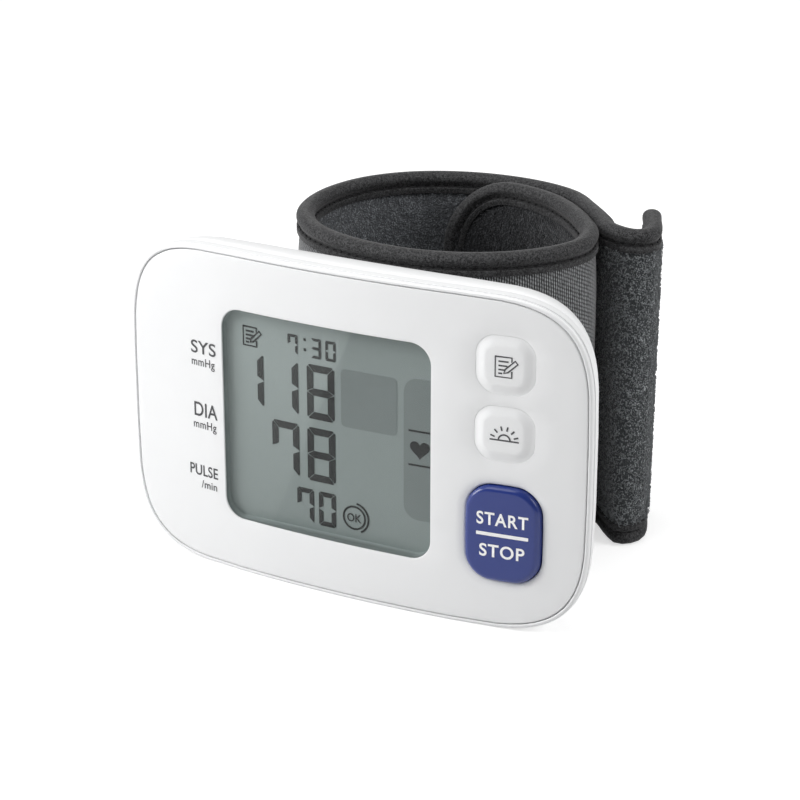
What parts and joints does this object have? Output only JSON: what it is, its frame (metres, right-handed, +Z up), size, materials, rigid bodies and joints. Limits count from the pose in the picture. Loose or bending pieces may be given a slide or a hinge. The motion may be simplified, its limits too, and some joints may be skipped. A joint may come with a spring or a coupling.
{
  "type": "wrist blood pressure monitor",
  "caption": "Wrist blood pressure monitor with a crowned white housing, a large display, a column of buttons and a curled fabric cuff with a loose fastening end.",
  "frame": {"origin": "on the table, under the middle of the object's box", "axes": "+X to the right as the display is read, +Y from the display towards the cuff, +Z up; the display faces -Y"},
  "size_m": [0.0898, 0.0712, 0.0596],
  "materials": {
    "white_plastic": "satin",
    "blue_plastic": "satin",
    "clear_window": "polished",
    "display_cell": "satin",
    "inner_plastic": "matte",
    "dark_component": "matte",
    "board_green": "satin",
    "steel": "satin",
    "cell_jacket": "satin",
    "soft_rubber": "matte",
    "knit_fabric": "matte",
    "pile_fabric": "matte",
    "binding_tape": "matte",
    "foam": "matte"
  },
  "bodies": {
    "housing": {"face_panel": "white_plastic", "middle_frame": "white_plastic", "rear_case": "white_plastic", "display_window": "clear_window", "lcd_panel": "display_cell", "lcd_frame": "inner_plastic", "lcd_connector": "soft_rubber", "tact_switch_1": "dark_component", "tact_switch_2": "dark_component", "tact_switch_3": "dark_component", "circuit_board": "board_green", "processor": "dark_component", "buzzer": "dark_component", "battery_1": "cell_jacket", "battery_2": "cell_jacket", "contact_bridge": "steel", "contact_positive": "steel", "contact_negative": "steel", "pump_motor": "steel", "pump_head": "inner_plastic", "release_valve": "steel", "air_manifold": "inner_plastic", "pressure_sensor": "dark_component", "pump_tube": "soft_rubber", "sensor_tube": "soft_rubber", "cuff_port": "inner_plastic", "case_screw_1": "steel", "case_screw_2": "steel", "cuff_screw_1": "steel", "cuff_screw_2": "steel", "cuff_screw_3": "steel", "cuff_screw_4": "steel", "sleeve_outer": "knit_fabric", "sleeve_lining": "pile_fabric", "cuff_curler": "inner_plastic", "air_bladder": "soft_rubber", "sleeve_binding": "binding_tape"},
    "start_stop_button": {"start_stop_button": "blue_plastic"},
    "memory_button": {"memory_button": "white_plastic"},
    "average_button": {"average_button": "white_plastic"},
    "battery_cover": {"battery_cover": "white_plastic"},
    "cuff_wrap": {"wrap_outer": "knit_fabric", "wrap_foam": "foam", "wrap_lining": "pile_fabric", "wrap_binding_top": "binding_tape", "wrap_binding_bottom": "binding_tape"},
    "cuff_tail": {"tail_outer": "knit_fabric", "tail_foam": "foam", "tail_hook_patch": "pile_fabric", "tail_binding": "binding_tape"}
  },
  "joints": [
    {"name": "start_stop_press", "type": "slide", "parent": "housing", "child": "start_stop_button", "axis": [0, 1, 0], "range_m": [0, 0.0005], "stiffness_N_per_m": 2000},
    {"name": "memory_press", "type": "slide", "parent": "housing", "child": "memory_button", "axis": [0, 1, 0], "range_m": [0, 0.0005], "stiffness_N_per_m": 2000},
    {"name": "average_press", "type": "slide", "parent": "housing", "child": "average_button", "axis": [0, 1, 0], "range_m": [0, 0.0005], "stiffness_N_per_m": 2000},
    {"name": "battery_cover_slide", "type": "slide", "parent": "housing", "child": "battery_cover", "axis": [-1, 0, 0], "range_m": [0, 0.008]},
    {"name": "cuff_wrap_hinge", "type": "hinge", "parent": "housing", "child": "cuff_wrap", "pos_m": [-0.02144, -0.00992, 0.0293], "axis": [0, 0, 1], "range_deg": [0, 60]},
    {"name": "cuff_tail_hinge", "type": "hinge", "parent": "cuff_wrap", "child": "cuff_tail", "pos_m": [0.02532, 0.01989, 0.0293], "axis": [0, 0, 1], "range_deg": [0, 50]}
  ]
}
